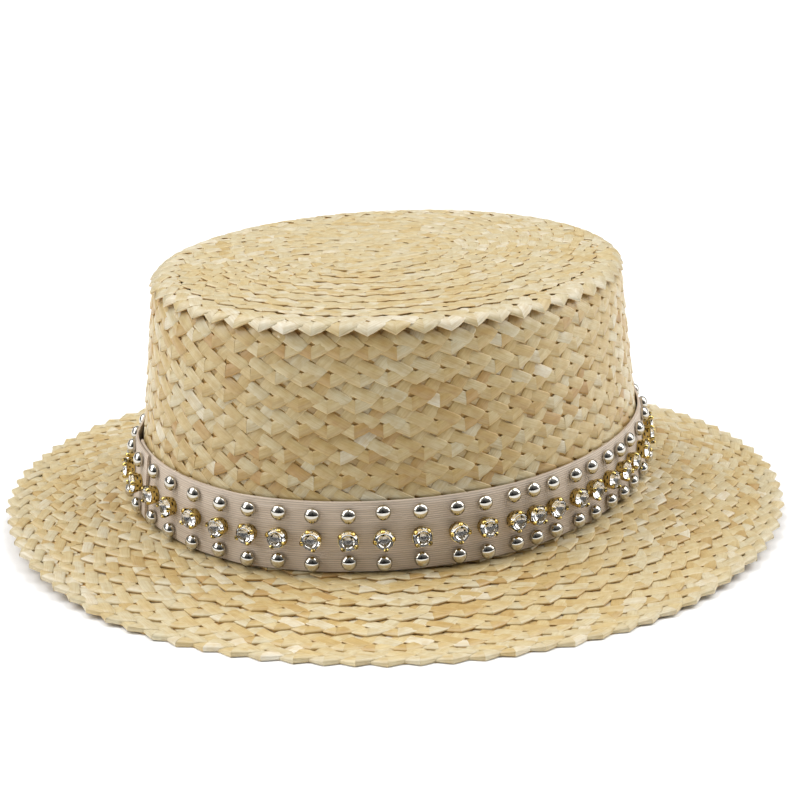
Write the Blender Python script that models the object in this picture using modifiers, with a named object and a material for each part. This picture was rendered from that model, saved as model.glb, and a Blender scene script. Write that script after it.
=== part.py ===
"""Straw boater hat: brim, crown side, crown tip, studded ribbon and claw-set crystals.

Metres, +Z up. The hat rests on its brim at Z = 0, its long axis runs along X, and the
middle of the head opening is over the origin.
"""

import math

import bmesh
import bpy
from mathutils import Matrix, Vector

# Straw shell
WALL = 0.0024                # brim and crown side, two plait rows sewn together
TIP_WALL = 0.0016            # crown tip, thinner where it turns over the side
GAP = 0.0003                 # clearance between separate pieces
TOOTH_PITCH = 0.0100         # one turn of the plait along its edge
TOOTH_DEPTH = 0.0030         # how far each turn stands out of the edge
TOOTH_LEAN = 0.34            # each tooth's point, as a share of the pitch

# Brim
BRIM_LENGTH = 0.2945
BRIM_WIDTH = 0.2935
BRIM_DROP = 0.0065           # the edge lies this much lower than the crown's foot
BRIM_BEND = 0.62             # share of that drop still to come halfway out
BRIM_FLAT = 0.0060           # level strip under the edge that rests on a table
SADDLE_RISE = 0.0042         # the two sides bend up this much
SADDLE_ANGLE = math.radians(-35.0)
SADDLE_BIAS = 0.5            # share of the bend that is cut off flat, front and back

# Crown
CROWN_BASE_LENGTH = 0.2000
CROWN_BASE_WIDTH = 0.1752
CROWN_TOP_LENGTH = 0.1810
CROWN_TOP_WIDTH = 0.1575
CROWN_HEIGHT = 0.0854        # brim to tip
CROWN_LEAN = 0.0012          # the tip is this much higher at +Y and lower at -Y
SHOULDER = 0.0024            # rounding between tip and side
LEDGE = 0.0010               # the tip's edge stands out of the side by this much
TIP_TOOTH_DROP = 0.6         # how far the tip's teeth hang, as a share of TOOTH_DEPTH
TIP_TOOTH_FLARE = 0.2        # how far their points stand out, as a share of TOOTH_DEPTH

# The rounding from the flat tip outwards: how far down and how far inside the ledge,
# as shares of SHOULDER
SHOULDER_SECTIONS = ((0.0, 2.0), (0.33, 0.8), (1.0, 0.0))

# Ribbon
RIBBON_WIDTH = 0.0245
RIBBON_THICKNESS = 0.0010
RIBBON_LAP = 0.0180          # length of ribbon that lies over its own start
RIBBON_RAMP = 0.0120         # length in which it climbs onto it
RIBBON_LAP_COLUMN = 0.5      # the lap ends here, counted in columns of ornaments

# Ornaments: columns of one stud, one crystal and one stud
STUD_DIAMETER = 0.0048
STUD_NECK_DIAMETER = 0.0041  # where the drum ends and the point starts
STUD_NECK_HEIGHT = 0.0013
STUD_HEIGHT = 0.0021
STUD_SIDES = 10
STUD_BURIED = 0.0004         # the stud's foot inside the ribbon
STUD_ROW_OFFSET = 0.0084     # from the ribbon's middle line to each row of studs
STONE_TABLE_DIAMETER = 0.0031
SETTING_DIAMETER = 0.0060
SETTING_FOOT_DIAMETER = 0.0044
SETTING_HEIGHT = 0.0022
STONE_HEIGHT = 0.0010        # table above the setting's lip
CLAW_REACH = 0.0005
CLAW_RISE = 0.0004
STONE_SIDES = 8
FIRST_COLUMN_ANGLE = math.radians(168.0)
COLUMN_PITCH = 0.0120        # mean distance between columns, along the ribbon

# Distance from each column to the next, as a share of the pitch, from the lap onwards;
# the columns past this list are spaced evenly
COLUMN_SHARES = (
    1.03, 1.02, 1.05, 1.02, 0.97, 0.94, 0.96, 1.04, 1.01, 1.06, 1.07,
    0.89, 0.95, 0.68, 0.74, 0.94, 0.78, 0.86, 0.79, 0.80, 1.10,
)
EVEN_SHARE = 1.27

# Mesh fineness
SIDE_SEGMENTS = 64
RIBBON_SEGMENTS = 76
FEWEST_TEETH = 12
WALK_STEP = math.radians(0.25)
SLOPE_STEP = 0.001           # step in which the crown's slope is measured
SHARP_ANGLE = math.radians(35)
TWIST_STEP = math.radians(137.5)

brim_foot_z = BRIM_DROP + WALL
crown_foot_z = brim_foot_z + GAP
tip_z = brim_foot_z + CROWN_HEIGHT
side_top_z = tip_z - SHOULDER - TIP_WALL - GAP


def oval(length, width, angle, offset=0.0):
    """A point of an oval, moved out along the oval's own normal."""
    x, y = length / 2 * math.cos(angle), width / 2 * math.sin(angle)
    normal = Vector((math.cos(angle) * width, math.sin(angle) * length, 0.0)).normalized()
    return Vector((x, y, 0.0)) + normal * offset


def rise(angle):
    """Height that the bent brim gives the hat's foot at this angle."""
    bend = math.cos(2 * (angle - SADDLE_ANGLE)) + SADDLE_BIAS
    return SADDLE_RISE * max(0.0, bend / (1 + SADDLE_BIAS))


def crown_point(angle, z, offset=0.0):
    """A point on the crown side's outer face, at height z before the hat is bent."""
    share = (z - crown_foot_z) / (tip_z - crown_foot_z)
    length = CROWN_BASE_LENGTH + (CROWN_TOP_LENGTH - CROWN_BASE_LENGTH) * share
    width = CROWN_BASE_WIDTH + (CROWN_TOP_WIDTH - CROWN_BASE_WIDTH) * share
    point = oval(length, width, angle, offset)
    lean = CROWN_LEAN * math.sin(angle)
    point.z = z + rise(angle) * (1 - share) + lean * share
    return point


def ribbon_point(angle, height, offset=0.0):
    """A point on the crown side at this height above the ribbon's lower edge."""
    return crown_point(angle, crown_foot_z + height, offset)


def wall_normal(angle, height):
    """Outward normal of the crown side behind the ribbon."""
    ahead = ribbon_point(angle + SLOPE_STEP, height)
    along = ahead - ribbon_point(angle - SLOPE_STEP, height)
    up = ribbon_point(angle, height + SLOPE_STEP) - ribbon_point(angle, height)
    return along.cross(up).normalized()


def angle_at(distance):
    """The angle reached after walking this far round the ribbon from the first column."""
    half_x = CROWN_BASE_LENGTH / 2 + RIBBON_THICKNESS
    half_y = CROWN_BASE_WIDTH / 2 + RIBBON_THICKNESS
    angle, walked = FIRST_COLUMN_ANGLE, 0.0
    while walked < distance:
        middle = angle + WALK_STEP / 2
        walked += WALK_STEP * math.hypot(half_x * math.sin(middle), half_y * math.cos(middle))
        angle += WALK_STEP
    return angle


def ribbon_perimeter():
    half_x = CROWN_BASE_LENGTH / 2 + RIBBON_THICKNESS
    half_y = CROWN_BASE_WIDTH / 2 + RIBBON_THICKNESS
    return 2 * math.pi * math.sqrt((half_x ** 2 + half_y ** 2) / 2)


def column_angles():
    """Angles of the ornament columns: the listed spacings, then even ones round the back."""
    distances = [0.0]
    for share in COLUMN_SHARES:
        distances.append(distances[-1] + share * COLUMN_PITCH)
    left = ribbon_perimeter() - distances[-1]
    count = max(1, round(left / (EVEN_SHARE * COLUMN_PITCH)))
    for k in range(1, count):
        distances.append(distances[len(COLUMN_SHARES)] + left * k / count)
    return [angle_at(distance) for distance in distances]


def material(name, color, roughness, metallic=0.0):
    made = bpy.data.materials.new(name)
    made.use_nodes = True
    shader = made.node_tree.nodes["Principled BSDF"]
    shader.inputs["Base Color"].default_value = (*color, 1.0)
    shader.inputs["Roughness"].default_value = roughness
    shader.inputs["Metallic"].default_value = metallic
    return made


def place(name, bm, collection, made):
    """Turns a bmesh into a named object of the hat."""
    bmesh.ops.recalc_face_normals(bm, faces=bm.faces[:])
    mesh = bpy.data.meshes.new(name)
    bm.to_mesh(mesh)
    bm.free()
    mesh.materials.append(made)
    mesh.shade_smooth()
    mesh.set_sharp_from_angle(angle=SHARP_ANGLE)
    piece = bpy.data.objects.new(name, mesh)
    collection.objects.link(piece)
    return piece


def loft(bm, rings):
    """Joins closed rings of points with quads and returns the rings' vertices."""
    made = [[bm.verts.new(point) for point in ring] for ring in rings]
    for lower, upper in zip(made, made[1:]):
        for k in range(len(lower)):
            following = (k + 1) % len(lower)
            bm.faces.new((lower[k], lower[following], upper[following], upper[k]))
    return made


def add_teeth(bm, ring, tips):
    """Sets one pointed turn of plait on each span of a ring."""
    for k, tip in enumerate(tips):
        bm.faces.new((ring[k], bm.verts.new(tip), ring[(k + 1) % len(ring)]))


def tooth_count(length, width):
    around = 2 * math.pi * math.sqrt(((length / 2) ** 2 + (width / 2) ** 2) / 2)
    return max(FEWEST_TEETH, round(around / TOOTH_PITCH))


def ring_angles(count, shift=0.0):
    return [2 * math.pi * (k + shift) / count for k in range(count)]


def build_brim(collection, straw):
    """The brim: a bent oval plate with a toothed edge and a level strip to rest on."""
    count = tooth_count(BRIM_LENGTH, BRIM_WIDTH)
    inner_length = CROWN_BASE_LENGTH - 2 * WALL
    inner_width = CROWN_BASE_WIDTH - 2 * WALL

    def ring(length, width, height):
        points = []
        for angle in ring_angles(count):
            point = oval(length, width, angle)
            point.z = height + rise(angle)
            points.append(point)
        return points

    edge_length, edge_width = BRIM_LENGTH - 2 * TOOTH_DEPTH, BRIM_WIDTH - 2 * TOOTH_DEPTH
    flat_length, flat_width = edge_length - 2 * BRIM_FLAT, edge_width - 2 * BRIM_FLAT
    middle_length = (CROWN_BASE_LENGTH + flat_length) / 2
    middle_width = (CROWN_BASE_WIDTH + flat_width) / 2
    bm = bmesh.new()
    rings = loft(bm, [
        ring(inner_length, inner_width, brim_foot_z),
        ring(middle_length, middle_width, WALL + BRIM_DROP * BRIM_BEND),
        ring(flat_length, flat_width, WALL),
        ring(edge_length, edge_width, WALL),
    ])
    tips = []
    for angle in ring_angles(count, shift=TOOTH_LEAN):
        tip = oval(BRIM_LENGTH, BRIM_WIDTH, angle)
        tip.z = WALL + rise(angle)
        tips.append(tip)
    add_teeth(bm, rings[-1], tips)
    solid = bmesh.ops.extrude_face_region(bm, geom=bm.faces[:], use_keep_orig=True)
    lower = [item for item in solid["geom"] if isinstance(item, bmesh.types.BMVert)]
    bmesh.ops.translate(bm, verts=lower, vec=(0.0, 0.0, -WALL))
    return place("brim", bm, collection, straw)


def build_crown_side(collection, straw):
    """The crown's oval wall, drawn in at the top where the tip's teeth lap over it."""
    drawn_in = LEDGE - TIP_WALL - 2 * GAP
    teeth_z = side_top_z - TOOTH_DEPTH
    sections = (
        (crown_foot_z, 0.0),
        (crown_foot_z + RIBBON_WIDTH, 0.0),
        (teeth_z - TOOTH_DEPTH, 0.0),
        (teeth_z, drawn_in),
        (side_top_z, drawn_in),
    )
    bm = bmesh.new()
    loft(bm, [
        [crown_point(angle, z, offset) for angle in ring_angles(SIDE_SEGMENTS)]
        for z, offset in sections
    ])
    side = place("crown_side", bm, collection, straw)
    thicken(side, WALL)
    return side


def thicken(piece, wall):
    shell = piece.modifiers.new("wall", "SOLIDIFY")
    shell.thickness = wall
    shell.offset = -1.0
    shell.use_even_offset = True


def build_crown_tip(collection, straw):
    """The flat oval tip, whose outer row turns down over the side in a row of teeth."""
    count = tooth_count(CROWN_TOP_LENGTH, CROWN_TOP_WIDTH)
    bm = bmesh.new()
    rings = loft(bm, [
        [
            crown_point(angle, tip_z - down * SHOULDER, LEDGE - inside * SHOULDER)
            for angle in ring_angles(count)
        ]
        for down, inside in SHOULDER_SECTIONS
    ])
    middle = bm.verts.new((0.0, 0.0, tip_z))
    for k in range(count):
        bm.faces.new((middle, rings[0][k], rings[0][(k + 1) % count]))
    low_z = tip_z - SHOULDER - TOOTH_DEPTH * TIP_TOOTH_DROP
    flare = LEDGE + TOOTH_DEPTH * TIP_TOOTH_FLARE
    add_teeth(bm, rings[-1], [
        crown_point(angle, low_z, flare)
        for angle in ring_angles(count, shift=TOOTH_LEAN)
    ])
    tip = place("crown_tip", bm, collection, straw)
    thicken(tip, TIP_WALL)
    return tip


def wind(angles):
    """Angles where the ribbon starts, begins to climb onto its start, lies on it and ends."""
    radius = ribbon_perimeter() / (2 * math.pi)
    end = angles[0] + RIBBON_LAP_COLUMN * (angles[1] - angles[0]) + 2 * math.pi
    start = end - 2 * math.pi - RIBBON_LAP / radius
    climbed = start + 2 * math.pi - 2 * math.pi / RIBBON_SEGMENTS
    return {"start": start, "climb": climbed - RIBBON_RAMP / radius, "climbed": climbed, "end": end}


def layer_offset(angle, turns):
    """How far the ribbon's inner face stands off the crown at this angle of its winding."""
    share = (angle - turns["climb"]) / (turns["climbed"] - turns["climb"])
    return GAP + min(1.0, max(0.0, share)) * (RIBBON_THICKNESS + GAP)


def build_ribbon(collection, cloth, turns):
    """The ribbon: one strip wound round the crown, its end lapped over its start."""
    sections = []
    for k in range(RIBBON_SEGMENTS + 1):
        angle = turns["start"] + (turns["end"] - turns["start"]) * k / RIBBON_SEGMENTS
        inner = layer_offset(angle, turns)
        outer = inner + RIBBON_THICKNESS
        sections.append([
            ribbon_point(angle, 0.0, inner),
            ribbon_point(angle, 0.0, outer),
            ribbon_point(angle, RIBBON_WIDTH, outer),
            ribbon_point(angle, RIBBON_WIDTH, inner),
        ])
    bm = bmesh.new()
    made = loft(bm, sections)
    bm.faces.new(reversed(made[0]))
    bm.faces.new(made[-1])
    return place("studded_ribbon", bm, collection, cloth)


def stand_on_ribbon(angle, height, turns, clearance=0.0):
    """Where an ornament stands on the ribbon, its own +Z pointing out of the crown."""
    while angle <= turns["end"] - 2 * math.pi:
        angle += 2 * math.pi
    normal = wall_normal(angle, height)
    lift = layer_offset(angle, turns) + RIBBON_THICKNESS + clearance
    spot = ribbon_point(angle, height) + normal * lift
    turned = Vector((0.0, 0.0, 1.0)).rotation_difference(normal).to_matrix().to_4x4()
    return Matrix.Translation(spot) @ turned


def add_stud(bm, matrix):
    """A domed stud: a short drum under a low many-sided point."""
    sections = (
        (STUD_DIAMETER / 2, -STUD_BURIED),
        (STUD_NECK_DIAMETER / 2, STUD_NECK_HEIGHT),
    )
    rings = loft(bm, [
        [matrix @ Vector((r * math.cos(a), r * math.sin(a), z)) for a in ring_angles(STUD_SIDES)]
        for r, z in sections
    ])
    bm.faces.new(reversed(rings[0]))
    top = bm.verts.new(matrix @ Vector((0.0, 0.0, STUD_HEIGHT)))
    for k in range(STUD_SIDES):
        bm.faces.new((top, rings[-1][k], rings[-1][(k + 1) % STUD_SIDES]))


def add_studs(ribbon, angles, turns, cutters, metal):
    """Both rows of studs, joined to the ribbon that they are pressed into."""
    bm = bmesh.new()
    for angle in angles:
        for row in (-1, 1):
            height = RIBBON_WIDTH / 2 + row * STUD_ROW_OFFSET
            add_stud(bm, stand_on_ribbon(angle, height, turns))
    studs = place("studs", bm, cutters, metal)
    studs.hide_render = True
    studs.display_type = "WIRE"
    union = ribbon.modifiers.new("studs", "BOOLEAN")
    union.operation = "UNION"
    union.solver = "EXACT"
    union.object = studs


def crystal_mesh(gold, glass):
    """An eight-sided stone with a flat table in a cup with four claws."""
    sections = (
        (SETTING_FOOT_DIAMETER / 2, 0.0),
        (SETTING_DIAMETER / 2, SETTING_HEIGHT),
        (STONE_TABLE_DIAMETER / 2, SETTING_HEIGHT + STONE_HEIGHT),
    )
    bm = bmesh.new()
    rings = loft(bm, [
        [Vector((r * math.cos(a), r * math.sin(a), z)) for a in ring_angles(STONE_SIDES)]
        for r, z in sections
    ])
    bm.faces.new(reversed(rings[0]))
    bm.faces.new(rings[-1])
    bmesh.ops.recalc_face_normals(bm, faces=bm.faces[:])
    cup = [
        face for face in bm.faces
        if len(face.verts) == 4 and all(vert in rings[0] or vert in rings[1] for vert in face.verts)
    ]
    claws = bmesh.ops.extrude_discrete_faces(bm, faces=cup[::2])["faces"]
    for claw in claws:
        out = Vector((claw.normal.x, claw.normal.y, 0.0)).normalized() * CLAW_REACH
        bmesh.ops.translate(bm, verts=claw.verts, vec=out + Vector((0.0, 0.0, CLAW_RISE)))
    bmesh.ops.recalc_face_normals(bm, faces=bm.faces[:])
    mesh = bpy.data.meshes.new("crystal")
    bm.to_mesh(mesh)
    bm.free()
    mesh.materials.append(gold)
    mesh.materials.append(glass)
    for face in mesh.polygons:
        face.material_index = int(face.center.z > SETTING_HEIGHT + CLAW_RISE)
    return mesh


def build_crystals(collection, angles, turns, gold, glass):
    """One claw-set crystal in the middle of each column, each turned its own way."""
    mesh = crystal_mesh(gold, glass)
    for number, angle in enumerate(angles, start=1):
        crystal = bpy.data.objects.new(f"crystal_{number:02d}", mesh)
        seat = stand_on_ribbon(angle, RIBBON_WIDTH / 2, turns, clearance=GAP)
        crystal.matrix_world = seat @ Matrix.Rotation(number * TWIST_STEP, 4, "Z")
        collection.objects.link(crystal)


def main():
    for item in list(bpy.data.objects):
        bpy.data.objects.remove(item)
    hat = bpy.data.collections.new("straw_boater_hat")
    cutters = bpy.data.collections.new("cutters")
    bpy.context.scene.collection.children.link(hat)
    bpy.context.scene.collection.children.link(cutters)

    straw = material("natural_straw", (0.72, 0.58, 0.36), 0.55)
    cloth = material("greige_ribbon", (0.53, 0.46, 0.40), 0.70)
    silver = material("silver_stud", (0.75, 0.73, 0.70), 0.15, metallic=1.0)
    gold = material("gold_setting", (0.80, 0.58, 0.25), 0.20, metallic=1.0)
    glass = material("clear_crystal", (0.85, 0.87, 0.88), 0.03)

    angles = column_angles()
    turns = wind(angles)
    build_brim(hat, straw)
    build_crown_side(hat, straw)
    build_crown_tip(hat, straw)
    ribbon = build_ribbon(hat, cloth, turns)
    add_studs(ribbon, angles, turns, cutters, silver)
    build_crystals(hat, angles, turns, gold, glass)


main()
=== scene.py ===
# Straw boater hat: toothed plait sewn row over row, a ribbon, round studs and claw-set crystals
from math import ceil, cos, hypot, pi, radians, sin, sqrt

import bpy
import numpy as np
from mathutils import Matrix, Vector


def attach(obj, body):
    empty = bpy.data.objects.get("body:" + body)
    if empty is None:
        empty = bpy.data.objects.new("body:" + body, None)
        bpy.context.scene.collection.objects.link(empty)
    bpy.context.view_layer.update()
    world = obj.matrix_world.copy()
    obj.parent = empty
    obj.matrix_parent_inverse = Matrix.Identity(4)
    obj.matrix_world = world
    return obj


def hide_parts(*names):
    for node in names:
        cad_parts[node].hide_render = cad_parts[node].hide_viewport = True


mm = 0.001
body = "root"
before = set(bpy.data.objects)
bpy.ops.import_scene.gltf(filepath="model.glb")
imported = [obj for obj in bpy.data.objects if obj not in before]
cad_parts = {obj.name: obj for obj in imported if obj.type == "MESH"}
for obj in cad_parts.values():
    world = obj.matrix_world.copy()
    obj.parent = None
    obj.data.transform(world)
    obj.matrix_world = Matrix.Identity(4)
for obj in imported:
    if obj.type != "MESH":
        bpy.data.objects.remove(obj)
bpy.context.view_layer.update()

# The hat's form, in metres, as its frame has it
hat = {
    "brimLength": 0.2945,
    "brimWidth": 0.2935,
    "wall": 0.0024,
    "gap": 0.0003,
    "brimInnerTop": 0.0089,      # top of the brim where it meets the crown
    "brimSlope": 0.00338,
    "brimSag": 0.00312,
    "brimFlat": 0.0090,          # level strip inside the edge
    "brimSeat": 0.0005,          # how far its inner rows rise to meet the ribbon
    "underCrown": 0.0020,        # how far the rows' surface runs on under the crown
    "ground": 0.0001,            # how far the rows are laid in from the wall's inner face
    "riseHeight": 0.0042,        # how far the two sides of the brim lift off the table
    "riseAngle": radians(-35),
    "riseBias": 0.5,
    "curl": 0.0026,              # one side of the brim stands a little higher than the other
    "curlAngle": radians(115),
    "curlReach": radians(85),
    "curlFade": radians(45),
    "baseLength": 0.2000,
    "baseWidth": 0.1752,
    "topLength": 0.1810,
    "topWidth": 0.1575,
    "footZ": 0.0092,
    "tipZ": 0.0943,
    "sideTopZ": 0.0918,
    "tuckZ": 0.0885,             # where the side starts to turn in under the tip
    "tuckSlope": 0.6,
    "lean": 0.0016,
}

# Camera and room


def setCamera():
    eye = {
        "distance": 0.6978,
        "azimuth": radians(-35),
        "elevation": radians(18.19),
        "roll": radians(-1.37),
        "focalPixels": 1835,
        "framePixels": 800,
        "targetZ": 0.0393,
        "sideways": -0.0026,
    }
    az, el = eye["azimuth"], eye["elevation"]
    back = Vector((sin(az) * cos(el), -cos(az) * cos(el), sin(el)))
    right = (-back).cross(Vector((0, 0, 1))).normalized()
    up = right.cross(-back)
    place = Vector((0, 0, eye["targetZ"])) + back * eye["distance"] - right * eye["sideways"]
    across = right * cos(eye["roll"]) + up * sin(eye["roll"])
    above = up * cos(eye["roll"]) - right * sin(eye["roll"])
    data = bpy.data.cameras.new("photoView")
    data.sensor_width = 36
    data.lens = eye["focalPixels"] / eye["framePixels"] * data.sensor_width
    data.clip_start = 0.05
    camera = bpy.data.objects.new("photoView", data)
    turn = Matrix((across, above, back)).transposed()
    camera.matrix_world = Matrix.Translation(place) @ turn.to_4x4()
    bpy.context.scene.collection.objects.link(camera)
    bpy.context.scene.camera = camera
    return back


def softbox(name, place, aim, size, power):
    data = bpy.data.lights.new(name, "AREA")
    data.shape = "RECTANGLE"
    data.size, data.size_y = size
    data.energy = power
    lamp = bpy.data.objects.new(name, data)
    lamp.location = place
    lamp.rotation_euler = (Vector(aim) - Vector(place)).to_track_quat("-Z", "Y").to_euler()
    bpy.context.scene.collection.objects.link(lamp)


def blendRange(tree, source, low, high, start, end):
    made = tree.nodes.new("ShaderNodeMapRange")
    made.interpolation_type = "SMOOTHSTEP"
    for key, value in (("From Min", low), ("From Max", high), ("To Min", start), ("To Max", end)):
        made.inputs[key].default_value = value
    tree.links.new(source, made.inputs["Value"])
    return made.outputs["Result"]


def combine(tree, operation, first, second):
    made = tree.nodes.new("ShaderNodeMath")
    made.operation = operation
    for socket, value in zip(made.inputs, (first, second)):
        if isinstance(value, float):
            socket.default_value = value
        else:
            tree.links.new(value, socket)
    return made.outputs["Value"]


def setWorld(viewSide):
    room = {
        "seen": 1.1,             # the pale backdrop
        "horizon": 0.10,
        "zenith": 0.55,
        "skyHeight": (-0.1, 0.9),
        "frontShare": 0.3,       # how much of that light comes from behind the camera
        "frontReach": (0.0, 0.8),
        "dark": 0.02,            # the unlit side of the room that the polished studs mirror
        "darkSide": (0.0, 0.1),
        "darkHeight": (0.30, 0.42),
        "darkWidth": (0.30, 0.45),
        "wedgeHeight": (0.60, 0.75),
        "wedgeWidth": (0.07, 0.16),
    }
    world = bpy.data.worlds.new("paleStudio")
    world.use_nodes = True
    tree = world.node_tree
    direction = tree.nodes.new("ShaderNodeTexCoord").outputs["Generated"]
    front = Vector((viewSide.x, viewSide.y, 0)).normalized()
    side = Vector((-front.y, front.x, 0))
    shares = []
    for axis in (front, side, Vector((0, 0, 1))):
        dot = tree.nodes.new("ShaderNodeVectorMath")
        dot.operation = "DOT_PRODUCT"
        dot.inputs[1].default_value = axis
        tree.links.new(direction, dot.inputs[0])
        shares.append(dot.outputs["Value"])
    ahead, sideways, up = shares
    sideways = combine(tree, "ABSOLUTE", sideways, 0.0)
    sky = blendRange(tree, up, *room["skyHeight"], room["horizon"], room["zenith"])
    fromFront = blendRange(tree, ahead, *room["frontReach"], 1.0, room["frontShare"])
    light = combine(tree, "MULTIPLY", sky, fromFront)
    facing = blendRange(tree, ahead, *room["darkSide"], 0.0, 1.0)
    for width, height in (("darkWidth", "darkHeight"), ("wedgeWidth", "wedgeHeight")):
        across = blendRange(tree, sideways, *room[width], 1.0, 0.0)
        above = blendRange(tree, up, *room[height], 1.0, 0.0)
        cover = combine(tree, "MULTIPLY", combine(tree, "MULTIPLY", across, above), facing)
        light = combine(tree, "MULTIPLY", light, combine(tree, "SUBTRACT", 1.0, cover))
        light = combine(tree, "MAXIMUM", light, room["dark"])
    seen = tree.nodes.new("ShaderNodeLightPath").outputs["Is Camera Ray"]
    light = combine(tree, "MAXIMUM", light, combine(tree, "MULTIPLY", seen, room["seen"]))
    tree.links.new(light, tree.nodes["Background"].inputs["Strength"])
    tree.nodes["Background"].inputs["Color"].default_value = (1, 1, 1, 1)
    bpy.context.scene.world = world


def setLights():
    boxes = {
        "leftSoftbox": ((-0.95, 0.25, 0.50), (0.6, 0.6), 3.2),
        "rightSoftbox": ((0.95, -0.50, 0.45), (0.6, 0.6), 3.4),
    }
    silks = {                    # where each comes from, strength, and how wide it looks
        "leftSilk": ((-0.34, 0.41, 0.85), 1.90, radians(48)),
        "rightSilk": ((0.50, -0.18, 0.85), 1.84, radians(48)),
    }
    aim = (0, 0, 0.05)
    for name, (place, size, power) in boxes.items():
        softbox(name, place, aim, size, power)
    for name, (source, strength, width) in silks.items():
        data = bpy.data.lights.new(name, "SUN")
        data.energy, data.angle = strength, width
        lamp = bpy.data.objects.new(name, data)
        lamp.rotation_euler = (-Vector(source)).to_track_quat("-Z", "Y").to_euler()
        bpy.context.scene.collection.objects.link(lamp)


def setFloor():
    plain = {"across": 6.0, "grey": 0.9, "roughness": 0.9, "gloss": 0.1}
    bpy.ops.mesh.primitive_plane_add(size=plain["across"])
    floor = bpy.context.object
    floor.name = "paleFloor"
    paint = bpy.data.materials.new("paleFloorPaint")
    paint.use_nodes = True
    shader = paint.node_tree.nodes["Principled BSDF"]
    shader.inputs["Base Color"].default_value = (plain["grey"], plain["grey"], plain["grey"], 1)
    shader.inputs["Roughness"].default_value = plain["roughness"]
    shader.inputs["Specular IOR Level"].default_value = plain["gloss"]
    floor.data.materials.append(paint)


setWorld(setCamera())
setLights()
setFloor()
bpy.context.scene.view_settings.view_transform = "Standard"
print("camera, floor and lights are up")

# Materials


def ink(red, green, blue):
    shares = [v / 255 for v in (red, green, blue)]
    return tuple(v / 12.92 if v <= 0.04045 else ((v + 0.055) / 1.055) ** 2.4 for v in shares) + (1.0,)


def newFinish(name):
    finish = bpy.data.materials.new(name)
    finish.use_nodes = True
    return finish, finish.node_tree, finish.node_tree.nodes["Principled BSDF"]


def node(tree, kind, **settings):
    made = tree.nodes.new(kind)
    for key, value in settings.items():
        setattr(made, key, value)
    return made


def ramp(tree, source, stops):
    made = tree.nodes.new("ShaderNodeValToRGB")
    elements = made.color_ramp.elements
    while len(elements) < len(stops):
        elements.new(0.5)
    for element, (place, colour) in zip(elements, stops):
        element.position = place
        element.color = colour
    tree.links.new(source, made.inputs["Fac"])
    return made.outputs["Color"]


def mixColour(tree, kind, amount, first, second):
    made = node(tree, "ShaderNodeMix", data_type="RGBA", blend_type=kind)
    for socket, value in ((made.inputs[0], amount), (made.inputs[6], first), (made.inputs[7], second)):
        if isinstance(value, (float, tuple)):
            socket.default_value = value
        else:
            tree.links.new(value, socket)
    return made.outputs[2]


def noise(tree, source, scale, detail=2.0):
    made = node(tree, "ShaderNodeTexNoise")
    made.inputs["Scale"].default_value = scale
    made.inputs["Detail"].default_value = detail
    tree.links.new(source, made.inputs["Vector"])
    return made.outputs["Fac"]


def stretched(tree, source, scale):
    made = node(tree, "ShaderNodeMapping")
    made.inputs["Scale"].default_value = scale
    tree.links.new(source, made.inputs["Vector"])
    return made.outputs["Vector"]


def addBump(tree, shader, source, strength, depth):
    made = node(tree, "ShaderNodeBump")
    made.inputs["Strength"].default_value = strength
    made.inputs["Distance"].default_value = depth
    tree.links.new(source, made.inputs["Height"])
    tree.links.new(made.outputs["Normal"], shader.inputs["Normal"])


def cloudColour(tree, shader, scale, stops):
    spot = node(tree, "ShaderNodeTexCoord").outputs["Object"]
    colour = ramp(tree, noise(tree, spot, scale), stops)
    tree.links.new(colour, shader.inputs["Base Color"])


def strawFinish():
    straw = {
        "tones": (
            (0.00, ink(192, 156, 98)),
            (0.25, ink(205, 180, 124)),
            (0.50, ink(217, 199, 153)),
            (0.75, ink(216, 205, 172)),
            (1.00, ink(234, 226, 205)),
        ),
        "fibreScale": (0.10, 2.6, 1.0),      # along a straw, across it, and from straw to straw
        "fibreDetail": 4.0,
        "fibres": ((0.30, ink(214, 196, 160)), (0.60, (1, 1, 1, 1))),
        "fibreShare": 0.45,
        "patchScale": 0.35,
        "patches": ((0.35, ink(232, 214, 176)), (0.62, (1, 1, 1, 1))),
        "patchShare": 0.5,
        "paintedShadeAndHighlight": (                          # painted light, from the top of a straw down to its underside: the top a little darker than its rims, which carry a painted highlight, and the sides and underside a warm painted shade
            (0.04, (0.87, 0.87, 0.87, 1)),
            (0.14, (1, 1, 1, 1)),
            (0.45, (1, 0.98, 0.94, 1)),
            (1.00, ink(242, 194, 114)),
        ),
        "roughness": 0.38,
        "gloss": 0.65,
        "bump": 0.35,
        "bumpDepth": 0.06 * mm,
    }
    finish, tree, shader = newFinish("wheatStraw")
    tone = node(tree, "ShaderNodeAttribute", attribute_name="tone").outputs["Fac"]
    grain = node(tree, "ShaderNodeAttribute", attribute_name="grain").outputs["Vector"]
    # how far down a straw's section each point lies; the painted shade and rim highlight below are drawn
    # from it
    low = node(tree, "ShaderNodeAttribute", attribute_name="low").outputs["Fac"]
    fibre = noise(tree, stretched(tree, grain, straw["fibreScale"]), 1.0, straw["fibreDetail"])
    patch = noise(tree, grain, straw["patchScale"])
    colour = ramp(tree, tone, straw["tones"])
    for amount, source, stops in (
        (straw["fibreShare"], fibre, straw["fibres"]),
        (straw["patchShare"], patch, straw["patches"]),
        (1.0, low, straw["paintedShadeAndHighlight"]),
    ):
        colour = mixColour(tree, "MULTIPLY", amount, colour, ramp(tree, source, stops))
    tree.links.new(colour, shader.inputs["Base Color"])
    shader.inputs["Roughness"].default_value = straw["roughness"]
    shader.inputs["Specular IOR Level"].default_value = straw["gloss"]
    addBump(tree, shader, fibre, straw["bump"], straw["bumpDepth"])
    return finish


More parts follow.
